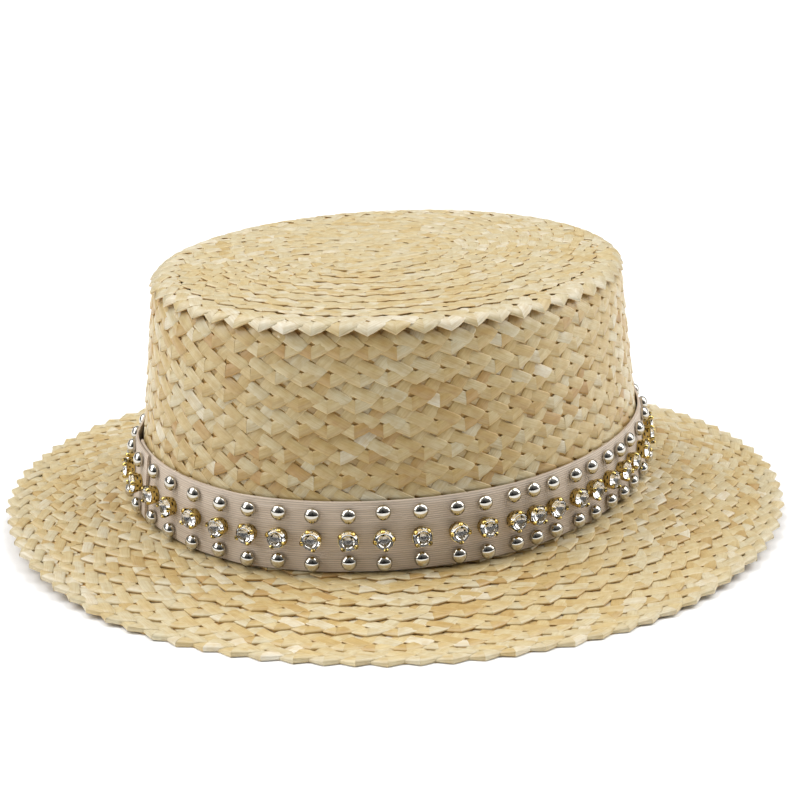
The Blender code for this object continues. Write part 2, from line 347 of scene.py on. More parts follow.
def backingFinish():
    # the plait under the rows, coloured darker than any straw as painted shade for the pits between them
    backing = {
        "scale": 220.0,
        "colours": ((0.3, ink(166, 130, 74)), (0.7, ink(200, 164, 102))),
        "roughness": 0.8,
    }
    finish, tree, shader = newFinish("shadedStraw")
    cloudColour(tree, shader, backing["scale"], backing["colours"])
    shader.inputs["Roughness"].default_value = backing["roughness"]
    return finish


def ribbonFinish():
    cloth = {
        "ribScale": 0.42,
        "ribShare": 0.25,
        "threadScale": (0.03, 3.2, 1.0),     # along the ribbon, across it, and through it
        "threadDetail": 3.0,
        "colours": ((0.3, ink(196, 177, 157)), (0.7, ink(225, 209, 191))),
        "roughness": 0.6,
        "sheen": 0.15,
        "bump": 0.5,
        "bumpDepth": 0.1 * mm,
    }
    finish, tree, shader = newFinish("greigeRibbon")
    grain = node(tree, "ShaderNodeAttribute", attribute_name="grain").outputs["Vector"]
    ribs = node(tree, "ShaderNodeTexWave", wave_type="BANDS", bands_direction="Y")
    ribs.inputs["Scale"].default_value = cloth["ribScale"]
    tree.links.new(grain, ribs.inputs["Vector"])
    thread = noise(tree, stretched(tree, grain, cloth["threadScale"]), 1.0, cloth["threadDetail"])
    colour = ramp(tree, thread, cloth["colours"])
    colour = mixColour(tree, "MULTIPLY", cloth["ribShare"], colour, ribs.outputs["Color"])
    tree.links.new(colour, shader.inputs["Base Color"])
    shader.inputs["Roughness"].default_value = cloth["roughness"]
    shader.inputs["Sheen Weight"].default_value = cloth["sheen"]
    addBump(tree, shader, ribs.outputs["Fac"], cloth["bump"], cloth["bumpDepth"])
    return finish


def metalFinish(name, light, dark, roughness, scale):
    finish, tree, shader = newFinish(name)
    cloudColour(tree, shader, scale, ((0.35, dark), (0.65, light)))
    shader.inputs["Metallic"].default_value = 1.0
    shader.inputs["Roughness"].default_value = roughness
    return finish


def crystalFinish():
    glass = {
        "scale": 400.0,
        "colours": ((0.3, (0.90, 0.88, 0.84, 1)), (0.7, (1, 0.99, 0.97, 1))),
        "roughness": 0.02,
        "ior": 1.6,
    }
    finish, tree, shader = newFinish("cutCrystal")
    cloudColour(tree, shader, glass["scale"], glass["colours"])
    shader.inputs["Roughness"].default_value = glass["roughness"]
    shader.inputs["IOR"].default_value = glass["ior"]
    shader.inputs["Transmission Weight"].default_value = 1.0
    return finish


finishes = {
    "straw": strawFinish(),
    "backing": backingFinish(),
    "ribbon": ribbonFinish(),
    "silver": metalFinish("polishedSilver", (0.62, 0.59, 0.53, 1), (0.54, 0.51, 0.45, 1), 0.07, 300.0),
    "gold": metalFinish("polishedGold", (0.72, 0.55, 0.20, 1), (0.45, 0.32, 0.09, 1), 0.14, 500.0),
    "foil": metalFinish("silverFoil", (0.62, 0.57, 0.50, 1), (0.38, 0.34, 0.28, 1), 0.08, 500.0),
    "crystal": crystalFinish(),
}
print("finishes are mixed")

# Lines and surfaces that the plait is laid over, as arrays: s runs inwards or up


def ovalLine(length, width, angle, out):
    normalX, normalY = width * np.cos(angle), length * np.sin(angle)
    size = np.hypot(normalX, normalY)
    x = length / 2 * np.cos(angle) + normalX / size * out
    y = width / 2 * np.sin(angle) + normalY / size * out
    return x, y


def riseAt(angle):
    bend = np.cos(2 * (angle - hat["riseAngle"])) + hat["riseBias"]
    return hat["riseHeight"] * np.maximum(0, bend / (1 + hat["riseBias"]))


def brimReach(angle):
    edgeX, edgeY = ovalLine(hat["brimLength"], hat["brimWidth"], angle, 0)
    baseX, baseY = ovalLine(hat["baseLength"], hat["baseWidth"], angle, 0)
    return np.hypot(edgeX - baseX, edgeY - baseY)


def brimShape(angle, s):
    reach = brimReach(angle)
    inset = np.minimum(s, reach + hat["underCrown"])
    q = np.clip((reach - inset) / (reach - hat["brimFlat"]), 0, 1)
    x, y = ovalLine(hat["brimLength"], hat["brimWidth"], angle, -inset)
    top = hat["brimInnerTop"] - hat["brimSlope"] * q - hat["brimSag"] * q * q
    top = top + hat["brimSeat"] * (1 - q) ** 3
    away = np.abs(np.mod(angle - hat["curlAngle"] + pi, 2 * pi) - pi)
    share = np.clip((hat["curlReach"] - away) / hat["curlFade"], 0, 1)
    curl = hat["curl"] * share * share * (3 - 2 * share) * q * q
    z = top + riseAt(angle) + curl - hat["wall"] + hat["ground"]
    return np.stack((x, y, z), -1)


def crownLine(angle, z, out):
    share = (z - hat["footZ"]) / (hat["tipZ"] - hat["footZ"])
    length = hat["baseLength"] + (hat["topLength"] - hat["baseLength"]) * share
    width = hat["baseWidth"] + (hat["topWidth"] - hat["baseWidth"]) * share
    x, y = ovalLine(length, width, angle, out)
    z = z + riseAt(angle) * (1 - share) + hat["lean"] * np.sin(angle) * share
    return np.stack((x, y, z), -1)


def sideShape(angle, s):
    z = np.minimum(s, hat["sideTopZ"])
    tuck = np.maximum(0, z - hat["tuckZ"]) * hat["tuckSlope"]
    return crownLine(angle, z, -hat["wall"] + hat["ground"] - tuck)


tipProfile = {                   # millimetres along the plait, in from the top oval, and up
    "along": (0.0, 1.4, 3.1, 5.6, 100.0),
    "inset": (0.35, 0.80, 2.30, 4.90, 99.3),
    "height": (89.8, 91.20, 92.60, 93.50, 93.50),
    "middle": 1.0,               # how near the middle the surface runs
}


def tipShape(angle, s):
    inset = np.interp(s / mm, tipProfile["along"], tipProfile["inset"]) * mm
    inset = np.minimum(inset, hat["topWidth"] / 2 - tipProfile["middle"] * mm)
    x = (hat["topLength"] / 2 - inset) * np.cos(angle)
    y = (hat["topWidth"] / 2 - inset) * np.sin(angle)
    z = np.interp(s / mm, tipProfile["along"], tipProfile["height"]) * mm
    z = z + hat["lean"] * y / (hat["topWidth"] / 2)
    return np.stack((x, y, z), -1)


def shapeNormal(shape, angle, s):
    turn, step = 1e-4, 0.3 * mm
    along = shape(angle + turn, s) - shape(angle - turn, s)
    inwards = shape(angle, s + step) - shape(angle, s - step)
    normal = np.cross(along, inwards)
    return normal / np.maximum(np.linalg.norm(normal, axis=-1, keepdims=True), 1e-12)


crispAngle = radians(50)         # a smooth mesh stays crisp at the edges that are sharper


def newMesh(name, points, quads, finish, marks=(), triangles=(), smooth=True):
    faces = [np.asarray(quads).reshape(-1, 4), np.asarray(triangles, dtype=int).reshape(-1, 3)]
    loops = np.concatenate([f.ravel() for f in faces])
    sizes = np.concatenate([np.full(len(f), f.shape[1]) for f in faces])
    mesh = bpy.data.meshes.new(name)
    mesh.vertices.add(len(points))
    mesh.vertices.foreach_set("co", np.asarray(points, np.float32).ravel())
    mesh.loops.add(len(loops))
    mesh.loops.foreach_set("vertex_index", loops.astype(np.int32))
    mesh.polygons.add(len(sizes))
    mesh.polygons.foreach_set("loop_start", (np.cumsum(sizes) - sizes).astype(np.int32))
    mesh.update(calc_edges=True)
    mesh.validate()
    for label, kind, values in marks:
        mark = mesh.attributes.new(label, kind, "POINT")
        field = "vector" if kind == "FLOAT_VECTOR" else "value"
        mark.data.foreach_set(field, np.asarray(values, np.float32).ravel())
    if smooth:
        mesh.shade_smooth()
        mesh.set_sharp_from_angle(angle=crispAngle)
    mesh.materials.append(finishes[finish])
    return mesh


def addPiece(name, mesh, replaced, place=None):
    piece = bpy.data.objects.new(name, mesh)
    bpy.context.scene.collection.objects.link(piece)
    if place is not None:
        piece.matrix_world = place
    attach(piece, body)
    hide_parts(replaced)
    return piece


def meshPiece(name, points, quads, finish, replaced, marks=()):
    return addPiece(name, newMesh(name, points, quads, finish, marks), replaced)


# One tooth of the plait is three flat straws, in millimetres: x along the row, y in from the tooth's point

plait = {
    "strawWidth": 4.35,
    "bulge": 0.10,               # how far the middle of a straw stands above its sides
    "pitch": 9.3,                # one tooth, as drawn below
    "rowReach": 12.0,
    "linePoints": 2881,
    "fewestTeeth": 6,
    "liftCap": 1.05,             # the greatest share of a row's lift, out at its teeth
    "levelBase": 0.15,           # how high a row lies that has no other row under it
    "levelShade": 0.25,          # how much of the shade between the straws such a row keeps
    "backingAt": (2.5, 6.0, 9.0, 12.0),
    "backingColumns": 180,
    "backingThick": 0.25,
    "backingRise": 0.35,         # how far it fills the pits between the straws
    "backingDrop": 0.02,
    "widthSpread": (0.94, 1.06),     # how much the straws differ from each other
    "shift": 0.28,
    "turn": radians(3.5),
    "tilt": radians(3.0),
    "lift": 0.06,
    "grainSkew": 0.7,
}

# Stations of each straw: x, y, height of the underside, thickness, share of the full width
straws = {
    "tile": (
        (-15.0, 11.1, 0.0, 0.45, 1.0),
        (-12.4, 9.7, 0.0, 0.50, 1.0),
        (-9.9, 8.36, 0.34, 0.50, 1.0),
        (-7.6, 7.14, 0.55, 0.52, 1.0),
        (-5.2, 5.86, 0.62, 0.55, 1.0),
        (-3.4, 4.90, 0.62, 0.55, 1.0),
        (-2.6, 4.48, 0.56, 0.52, 0.93),
        (-2.15, 4.24, 0.46, 0.46, 0.72),
    ),
    "leftFacet": (
        (-7.2, 5.85, 0.0, 0.45, 0.9),
        (-5.0, 4.82, 0.0, 0.58, 0.97),
        (-2.5, 3.64, 0.0, 0.90, 1.0),
        (0.06, 2.44, 0.0, 1.22, 1.0),
    ),
    "rightFacet": (
        (-0.04, 2.44, 0.0, 1.20, 1.0),
        (2.3, 3.50, 0.0, 1.14, 1.0),
        (4.3, 4.62, 0.0, 1.02, 1.0),
        (5.8, 6.30, 0.16, 0.55, 1.04),
        (7.5, 8.35, 0.55, 0.50, 1.10),
        (9.3, 10.2, 0.40, 0.48, 1.06),
        (10.7, 11.6, 0.10, 0.45, 1.0),
    ),
}
tileSlant = radians(41)          # the tile's ends are cut along the straws that cross it

# A straw's cross-section: share of its half width, share of its thickness
section = np.array((
    (-0.90, 0.00), (-1.00, 0.32), (-0.96, 0.74), (-0.84, 0.96), (0.00, 1.00),
    (0.84, 0.96), (0.96, 0.74), (1.00, 0.32), (0.90, 0.00), (0.00, 0.00),
))
capQuads = np.array(((0, 1, 2, 3), (0, 3, 4, 9), (9, 4, 5, 8), (5, 6, 7, 8)))


def sweepStraw(stations, uprightStart=False, uprightEnd=False, slant=None):
    table = np.array(stations)
    centre = table[:, :2]
    legs = np.diff(centre, axis=0)
    lengths = np.linalg.norm(legs, axis=1)
    legs = legs / lengths[:, None]
    way = np.vstack((legs[:1], legs[:-1] + legs[1:], legs[-1:]))
    way = way / np.linalg.norm(way, axis=1, keepdims=True)
    across = np.stack((way[:, 1], -way[:, 0]), -1)
    if slant is not None:
        cut = np.array((-cos(slant), -sin(slant)))
        across = cut / (across @ cut)[:, None]
    for upright, row, leg in ((uprightStart, 0, legs[0]), (uprightEnd, -1, legs[-1])):
        if upright:              # the fold at the tooth's point is cut straight across the row
            across[row] = (0.0, -1.0 / abs(leg[0]))
    across = across * (table[:, 4] * plait["strawWidth"] / 2)[:, None]
    share, rise = section[:, 0], section[:, 1]
    along = np.concatenate(((0.0,), np.cumsum(lengths)))
    count, sides = len(table), len(section)
    base = np.repeat(centre, sides, axis=0)
    offset = (across[:, None, :] * share[None, :, None]).reshape(-1, 2)
    height = (table[:, 2, None] + table[:, 3, None] * rise[None, :]).ravel()
    height += plait["bulge"] * np.tile(rise == 1, count)
    grid = np.arange(count * sides).reshape(count, sides)
    ahead = np.roll(grid, -1, axis=1)
    walls = np.stack((grid[:-1], ahead[:-1], ahead[1:], grid[1:]), -1).reshape(-1, 4)
    quads = np.vstack((walls, capQuads[:, ::-1], capQuads + (count - 1) * sides))
    return {
        "base": base,
        "offset": offset,
        "height": height,
        "middle": centre.mean(axis=0),
        "share": np.tile(share, count),
        "along": np.repeat(along, sides),
        # how far down the section a point lies: the straw finish paints shade and a rim highlight from it
        "low": np.tile(1 - rise, count),
        "quads": quads,
    }


forms = {
    "tile": sweepStraw(straws["tile"], slant=tileSlant),
    "leftFacet": sweepStraw(straws["leftFacet"], uprightEnd=True),
    "rightFacet": sweepStraw(straws["rightFacet"], uprightStart=True),
}


def rowBase(y, look):
    # each row is lifted at its teeth, where it lies over the next one out or down
    lift = look["edgeLift"] * np.clip(1 - y / plait["rowReach"], 0, plait["liftCap"])
    return np.full_like(lift, plait["levelBase"]) if look["level"] else lift


def strawMarks(tones, grains, lows):
    return (
        ("tone", "FLOAT", np.concatenate(tones)),
        ("grain", "FLOAT_VECTOR", np.concatenate(grains)),
        ("low", "FLOAT", np.concatenate(lows)),
    )


def layTeeth(shape, start, spots, step, arcs, turns, draw, look):
    scale = step / mm / plait["pitch"]
    points, quads, tones, grains, lows = [], [], [], [], []
    made, count = 0, len(spots)
    shade = plait["levelShade"] if look["level"] else 1.0
    shared = draw.uniform(-1, 1, (count, 2)) * plait["shift"]
    for name, form in forms.items():
        width = draw.uniform(*plait["widthSpread"], (count, 1))
        own = draw.uniform(-1, 1, (count, 2)) * plait["shift"] * (name == "tile")
        turn = draw.uniform(-1, 1, (count, 1)) * plait["turn"] * (name == "tile")
        tilt = draw.uniform(-1, 1, (count, 1)) * plait["tilt"]
        lift = draw.uniform(-1, 1, (count, 1)) * plait["lift"]
        tone = draw.triangular(*look["tones"], (count, 1))
        seed = draw.uniform(0, 100, (count, 1))
        x = form["base"][:, 0] + form["offset"][:, 0] * width - form["middle"][0]
        y = form["base"][:, 1] + form["offset"][:, 1] * width - form["middle"][1]
        turnedX = x * np.cos(turn) - y * np.sin(turn) + form["middle"][0] + shared[:, :1] + own[:, :1]
        turnedY = x * np.sin(turn) + y * np.cos(turn) + form["middle"][1] + shared[:, 1:] + own[:, 1:]
        h = form["height"] * look["thick"] + np.tan(tilt) * form["share"] * plait["strawWidth"] / 2 + lift
        h = h + rowBase(turnedY, look)
        run = np.mod(spots[:, None] + turnedX * scale * mm, arcs[-1])
        angle = np.interp(run, arcs, turns)
        s = start + turnedY * look["depth"] * mm
        place = shape(angle, s) + shapeNormal(shape, angle, s) * h[..., None] * mm
        points.append(place.reshape(-1, 3))
        size = len(form["height"])
        quads.append((form["quads"][None] + made + (np.arange(count) * size)[:, None, None]).reshape(-1, 4))
        made += count * size
        tones.append(np.broadcast_to(tone, (count, size)).ravel())
        across = form["share"] * width * plait["strawWidth"] / 2
        skewed = across + seed * plait["grainSkew"]
        grain = np.stack((form["along"] + seed, skewed, np.broadcast_to(seed, (count, size))), -1)
        grains.append(grain.reshape(-1, 3))
        lows.append(np.broadcast_to(form["low"] * shade, (count, size)).ravel())
    return np.concatenate(points), np.concatenate(quads), strawMarks(tones, grains, lows)


def layRow(name, replaced, shape, start, pitch, draw, look, kept=None):
    turns = np.linspace(0, 2 * pi, plait["linePoints"])
    line = shape(turns, np.full_like(turns, start))
    arcs = np.concatenate(((0.0,), np.cumsum(np.linalg.norm(np.diff(line, axis=0), axis=1))))
    count = max(plait["fewestTeeth"], round(arcs[-1] / (pitch * mm)))
    step = arcs[-1] / count
    spots = (np.arange(count) + draw.uniform(0, 1)) * step
    if kept is not None:
        spots = spots[kept(np.interp(np.mod(spots, arcs[-1]), arcs, turns))]
    points, quads, marks = layTeeth(shape, start, spots, step, arcs, turns, draw, look)
    meshPiece(name, points, quads, "straw", replaced, marks)
    layBand(name + "_backing", replaced, shape, start, look)


def layBand(name, replaced, shape, start, look):
    columns, stations = plait["backingColumns"], np.array(plait["backingAt"])
    turns = np.arange(columns) / columns * 2 * pi
    y = np.concatenate((stations, stations[::-1]))
    under = np.repeat((0.0, plait["backingThick"]), len(stations))
    filled = plait["backingRise"] * look["thick"] * (y > stations[0])
    h = rowBase(y, look) + filled - plait["backingDrop"] - under
    angle, depth = np.meshgrid(turns, start + y * look["depth"] * mm, indexing="ij")
    place = shape(angle, depth) + shapeNormal(shape, angle, depth) * (h * mm)[None, :, None]
    grid = np.arange(columns * len(y)).reshape(columns, len(y))
    ahead, beyond = np.roll(grid, -1, axis=0), np.roll(grid, -1, axis=1)
    quads = np.stack((grid, ahead, np.roll(ahead, -1, axis=1), beyond), -1).reshape(-1, 4)
    meshPiece(name, place.reshape(-1, 3), quads, "backing", replaced)


def rowLook(rows, outer=False, level=False):
    return {
        "level": level,
        "thick": rows["edgeThick" if outer else "thick"],
        "tones": rows["edgeTones" if outer else "tones"],
        "depth": rows["depth"],
        "edgeLift": rows["edgeLift"],
    }


def layBrim():
    rows = {
        "pitch": 10.1,
        "rowPitch": 8.2 * mm,
        "seed": 11,
        "edgeThick": 1.45,       # the outer row is folded thicker, and its tones are drawn from the paler end
        "edgeTones": (0.30, 0.70, 1.0),
        "thick": 0.9,
        "tones": (0.02, 0.52, 1.0),
        "depth": 0.93,
        "edgeLift": 0.85,
        "underCrown": 1.0 * mm,  # how far in under the crown a tooth may start
    }
    draw = np.random.default_rng(rows["seed"])
    count = ceil(float(brimReach(np.array(pi / 2))) / rows["rowPitch"])
    for k in range(count):
        start = k * rows["rowPitch"]
        look = rowLook(rows, outer=k == 0, level=k == 0)

        def kept(angle, start=start):
            return start < brimReach(angle) + rows["underCrown"]

        layRow(f"brim_row_{k + 1}", "brim", brimShape, start, rows["pitch"], draw, look, kept)


def laySide():
    rows = {
        "pitch": 9.3,
        "topRow": 81.2 * mm,
        "rowPitch": 8.9 * mm,
        "count": 7,
        "seed": 23,
        "thick": 1.0,
        "tones": (-0.05, 0.40, 0.95),
        "depth": 1.0,
        "edgeLift": 0.85,
    }
    draw = np.random.default_rng(rows["seed"])
    look = rowLook(rows)
    for k in range(rows["count"]):
        start = rows["topRow"] - k * rows["rowPitch"]
        layRow(f"side_row_{k + 1}", "crown_side", sideShape, start, rows["pitch"], draw, look)


def layTip():
    rows = {
        "pitch": 9.3,
        "rowPitch": 8.0 * mm,
        "firstDrop": 1.6 * mm,   # how much further in the rows start once the first has turned down
        "nextDrop": 0.6 * mm,
        "count": 9,
        "seed": 37,
        "edgeThick": 0.85,
        "edgeTones": (0.40, 0.82, 1.0),
        "thick": 0.6,
        "tones": (0.25, 0.65, 0.98),
        "depth": 0.9,
        "edgeLift": 0.5,
    }
    draw = np.random.default_rng(rows["seed"])
    for k in range(rows["count"]):
        look = rowLook(rows, outer=k == 0)
        start = k * rows["rowPitch"] + (k > 0) * rows["firstDrop"] + (k > 1) * rows["nextDrop"]
        layRow(f"tip_row_{k + 1}", "crown_tip", tipShape, start, rows["pitch"], draw, look)


# The plait starts at the middle of the tip, where its two first straws lie side by side

centre = {
    "halfGap": 1.75,
    "stagger": 1.0,
    "step": 0.12,                # how much higher the second straw lies
    "tones": (0.55, 0.72),
    "grainStep": (31.0, 17.0),
    "straw": (
        (-17.0, 0.0, 0.20, 0.30, 0.30),
        (-13.5, 0.0, 0.32, 0.42, 0.80),
        (-7.0, 0.0, 0.42, 0.50, 1.00),
        (0.0, 0.0, 0.46, 0.52, 1.04),
        (7.0, 0.0, 0.42, 0.50, 1.00),
        (13.5, 0.0, 0.32, 0.42, 0.80),
        (17.0, 0.0, 0.20, 0.30, 0.30),
    ),
}


def layCentre():
    form = sweepStraw(centre["straw"])
    flat = form["base"] + form["offset"]
    size = len(flat)
    points, quads, tones, grains, lows = [], [], [], [], []
    for k, tone in enumerate(centre["tones"]):
        side = 2 * k - 1
        stepAlong, stepAcross = centre["grainStep"]
        across = flat[:, 1] + side * centre["halfGap"]
        height = tipProfile["height"][-1] + form["height"] + centre["step"] * k
        points.append(np.stack((flat[:, 0] + side * centre["stagger"], across, height), -1) * mm)
        quads.append(form["quads"] + k * size)
        tones.append(np.full(size, tone))
        grain = (form["along"] + stepAlong * k, across + stepAcross * k, np.zeros(size))
        grains.append(np.stack(grain, -1))
        lows.append(form["low"])
    points, quads = np.concatenate(points), np.concatenate(quads)
    marks = strawMarks(tones, grains, lows)
    meshPiece("tip_centre", points, quads, "straw", "crown_tip", marks)


layBrim()
print("brim rows are sewn")
laySide()
print("crown side rows are sewn")
layTip()
layCentre()
print("tip rows are sewn")

# The ribbon, wound once round the crown's foot with a short lap

ribbon = {
    "width": 0.0245,
    "thickness": 0.0010,
    "lap": 0.0180,
    "ramp": 0.0120,              # how long it takes to climb on top of its start
    "lapColumn": 0.5,            # its end lies this share of the way between two columns of stones
    "rampSteps": 76,
    "edgeRound": 0.00035,
    "edgeReach": 0.0007,
    "wave": 0.00012,
    "waveCount": 23,
    "waveSlant": 0.25,
    "columns": 420,
    "rows": 16,
}
columnsOfStones = {
    "firstAngle": radians(168),
    "pitch": 0.0120,
    "evenShare": 1.27,           # the even spacing behind, over the pitch
    "shares": (                  # the spacings in front, over the pitch
        1.03, 1.02, 1.05, 1.02, 0.97, 0.94, 0.96, 1.04, 1.01, 1.06, 1.07,
        0.89, 0.95, 0.68, 0.74, 0.94, 0.78, 0.86, 0.79, 0.80, 1.10,
    ),
    "walkStep": radians(0.25),
}


def ribbonHalves():
    return hat["baseLength"] / 2 + ribbon["thickness"], hat["baseWidth"] / 2 + ribbon["thickness"]


def ribbonPerimeter():
    halfX, halfY = ribbonHalves()
    return 2 * pi * sqrt((halfX ** 2 + halfY ** 2) / 2)


def angleAt(distance):
    halfX, halfY = ribbonHalves()
    angle, walked, step = columnsOfStones["firstAngle"], 0.0, columnsOfStones["walkStep"]
    while walked < distance:
        middle = angle + step / 2
        walked += step * hypot(halfX * sin(middle), halfY * cos(middle))
        angle += step
    return angle


def columnAngles():
    distances = [0.0]
    for share in columnsOfStones["shares"]:
        distances.append(distances[-1] + share * columnsOfStones["pitch"])
    left = ribbonPerimeter() - distances[-1]
    count = max(1, round(left / (columnsOfStones["evenShare"] * columnsOfStones["pitch"])))
    last = distances[-1]
    distances += [last + left * k / count for k in range(1, count)]
    return [angleAt(d) for d in distances]


stoneAngles = columnAngles()
woundRadius = ribbonPerimeter() / (2 * pi)
woundEnd = stoneAngles[0] + ribbon["lapColumn"] * (stoneAngles[1] - stoneAngles[0]) + 2 * pi
woundStart = woundEnd - 2 * pi - ribbon["lap"] / woundRadius
woundClimbed = woundStart + 2 * pi - 2 * pi / ribbon["rampSteps"]
woundClimb = woundClimbed - ribbon["ramp"] / woundRadius


def layerOffset(angle):
    share = np.clip((angle - woundClimb) / (woundClimbed - woundClimb), 0, 1)
    return hat["gap"] + share * (ribbon["thickness"] + hat["gap"])


def ribbonLine(angle, height, out):
    return crownLine(angle, hat["footZ"] + height, out)


def windRibbon():
    columns, rows = ribbon["columns"], ribbon["rows"]
    turns = np.linspace(woundStart, woundEnd, columns)
    heights = np.linspace(0, 1, rows) * ribbon["width"]
    edge = np.minimum(heights, ribbon["width"] - heights)
    face = ribbon["thickness"] - ribbon["edgeRound"] * np.clip(1 - edge / ribbon["edgeReach"], 0, 1) ** 2
    heights = np.concatenate((heights, heights[::-1]))
    outs = np.concatenate((face, np.zeros(rows)))
    angle, height = np.meshgrid(turns, heights, indexing="ij")
    wave = np.sin(angle * ribbon["waveCount"] + height / mm * ribbon["waveSlant"]) * (outs > 0)
    out = layerOffset(angle) + outs + ribbon["wave"] * wave
    place = ribbonLine(angle, height, out)
    sides = len(heights)
    grid = np.arange(columns * sides).reshape(columns, sides)
    ahead = np.roll(grid, -1, axis=1)
    walls = np.stack((grid[:-1], grid[1:], ahead[1:], ahead[:-1]), -1).reshape(-1, 4)
    pairs = np.arange(rows - 1)
    strip = np.stack((pairs, pairs + 1, sides - 2 - pairs, sides - 1 - pairs), -1)
    quads = np.vstack((walls, strip, strip[:, ::-1] + (columns - 1) * sides))
    along = (angle - woundStart) * woundRadius / mm
    marks = (("grain", "FLOAT_VECTOR", np.stack((along, height / mm, np.zeros_like(along)), -1)),)
    points = place.reshape(-1, 3)
    return meshPiece("ribbon", points, quads, "ribbon", "studded_ribbon", marks)


def standing(angle, height, clearance):
    # the place of a stud or a stone that stands straight out of the ribbon's face
    while angle <= woundEnd - 2 * pi:
        angle += 2 * pi
    step = 1e-3
    turns = (angle, angle + step, angle - step)
    spot, ahead, behind = (Vector(ribbonLine(np.array(a), height, 0.0)) for a in turns)
    above = Vector(ribbonLine(np.array(angle), height + step, 0.0))
    normal = (ahead - behind).cross(above - spot).normalized()
    lift = float(layerOffset(np.array(angle))) + ribbon["thickness"] + clearance
    turn = Vector((0, 0, 1)).rotation_difference(normal).to_matrix().to_4x4()
    return Matrix.Translation(spot + normal * lift) @ turn


def ring(radius, height, count, turn=0.0):
    angles = np.arange(count) / count * 2 * pi + turn
    return [(radius * cos(a), radius * sin(a), height) for a in angles]


def turnedSolid(profile, sides):
    # profile of radius and height from the axis below to the axis above, in millimetres
    rings = [(r, z) for r, z in profile if r > 0]
    points = [point for r, z in rings for point in ring(r, z, sides)]
    quads, triangles = [], []
    for k in range(len(rings) - 1):
        for j in range(sides):
            nextJ = (j + 1) % sides
            quads.append((k * sides + j, k * sides + nextJ, (k + 1) * sides + nextJ, (k + 1) * sides + j))
    low, high = len(points), len(points) + 1
    points += [(0, 0, profile[0][1]), (0, 0, profile[-1][1])]
    last = (len(rings) - 1) * sides
    for j in range(sides):
        nextJ = (j + 1) % sides
        triangles.append((low, nextJ, j))
        triangles.append((high, last + j, last + nextJ))
    return np.array(points) * mm, np.array(quads), np.array(triangles)


def repeated(solid, places):
    points, quads, triangles = solid
    allPoints, allQuads, allTriangles = [], [], []
    for k, place in enumerate(places):
        turn = np.array(place)
        allPoints.append(points @ turn[:3, :3].T + turn[:3, 3])
        allQuads.append(quads + k * len(points))
        allTriangles.append(triangles + k * len(points))
    return np.concatenate(allPoints), np.concatenate(allQuads), np.concatenate(allTriangles)


studs = {
    "radius": 2.75,
    "foot": -0.45,
    "skirt": ((0.66, -0.45), (0.84, 0.05), (0.95, 0.45)),
    "shoulder": 0.95,
    "top": 3.05,
    "fullness": 0.95,
    "sides": 32,
    "rings": 10,
    "upperRow": 0.0080,          # heights from the ribbon's middle line
    "lowerRow": -0.0092,
    "scatter": 0.0005,
    "seed": 5,
}


def studProfile():
    # a drawn dome: round on top, with a short steep skirt that turns in at its foot
    rim = [(studs["radius"] * r, z) for r, z in studs["skirt"]]
    for k in range(studs["rings"]):
        lift = k / studs["rings"] * pi / 2
        out = studs["radius"] * cos(lift) ** studs["fullness"]
        rim.append((out, studs["shoulder"] + (studs["top"] - studs["shoulder"]) * sin(lift)))
    return [(0, studs["foot"])] + rim + [(0, studs["top"])]


def pressStuds():
    solid = turnedSolid(studProfile(), studs["sides"])
    made = []
    draw = np.random.default_rng(studs["seed"])
    for name, row in (("studs_upper", "upperRow"), ("studs_lower", "lowerRow")):
        scatter = draw.uniform(-1, 1, len(stoneAngles)) * studs["scatter"]
        heights = ribbon["width"] / 2 + studs[row] + scatter
        places = [standing(angle, height, 0.0) for angle, height in zip(stoneAngles, heights)]
        points, quads, triangles = repeated(solid, places)
        mesh = newMesh(name, points, quads, "silver", triangles=triangles)
        made.append(addPiece(name, mesh, "studded_ribbon"))
    return made


band = windRibbon()
studRows = pressStuds()
print("ribbon and studs are on")

# Crystals: a cut stone over a foil, in a pierced gold cup with four claws

crystal = {
    "girdle": 3.15,
    "girdleLow": 2.80,
    "girdleHigh": 3.00,
    "table": 1.80,
    "tableHeight": 3.85,
    "starOut": 1.02,             # these two lift the stars' tips off the slope from table to girdle
    "starUp": 0.16,
    "waist": 1.75,               # height of the ring where the lower facets meet
    "waistShare": 0.45,          # its radius, over the girdle's
    "point": 0.80,
    "cupSides": 32,
    "cupFoot": 2.90,
    "cupLip": 3.26,
    "cupLevels": (0.0, 0.45, 1.0, 1.4, 1.95, 2.65),
    "pierced": (1, 3),           # the levels that have slots
    "cupWall": 0.30,
    "clawSides": 8,
    "clawWidth": 0.66,
    "clawDepth": 0.62,           # over the width
    "clawPath": ((2.90, 1.0), (3.12, 2.1), (3.24, 2.95), (3.18, 3.45), (2.88, 3.74), (2.50, 3.68)),
    "clawSwell": (0.8, 1.0, 1.1, 1.2, 1.15, 0.6),
    "foilSides": 8,
    "foil": ((0, 0.02), (2.4, 0.02), (2.65, 2.1), (2.55, 2.1), (1.3, 0.75), (0, 0.45)),
    "size": 1.08,                # of the whole, over the lengths above
    "clearance": 0.0001,
    "drop": 0.0006,              # how far they sit under the ribbon's middle line
    "twist": radians(137.5),
}


